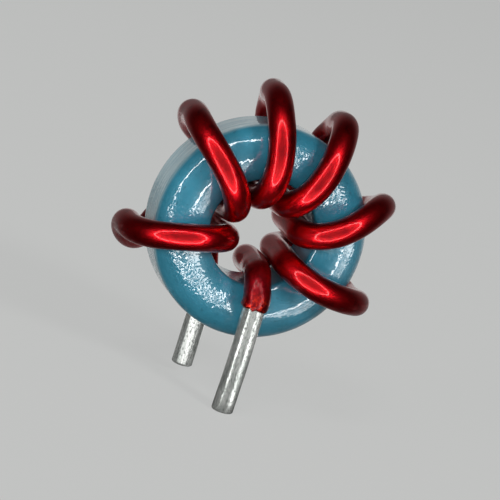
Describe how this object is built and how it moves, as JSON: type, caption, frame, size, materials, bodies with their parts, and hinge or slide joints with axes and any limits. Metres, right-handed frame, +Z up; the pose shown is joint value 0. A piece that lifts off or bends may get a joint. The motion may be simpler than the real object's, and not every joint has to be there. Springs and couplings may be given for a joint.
{
  "type": "toroidal inductor",
  "caption": "Small upright toroidal inductor: a coated ring core with turns of thick enamelled wire, whose two tinned ends point down as board leads.",
  "frame": {"origin": "where the front lead's axis goes through the top face of the board; the ring stands on that face", "axes": "+Z up from the board, leads along -Z; the ring's axis along Y, its front face with the front lead towards -Y; +X to the right of that face"},
  "size_m": [0.0101, 0.0054, 0.012],
  "materials": {
    "core_coating": "glossy teal-blue coating with fine orange peel",
    "wire_enamel": "clear red enamel over bright copper, glossy",
    "tinned_copper": "hot-tinned, with long ridges"
  },
  "bodies": {
    "root": {"core": "core_coating", "winding": "wire_enamel"}
  },
  "joints": []
}
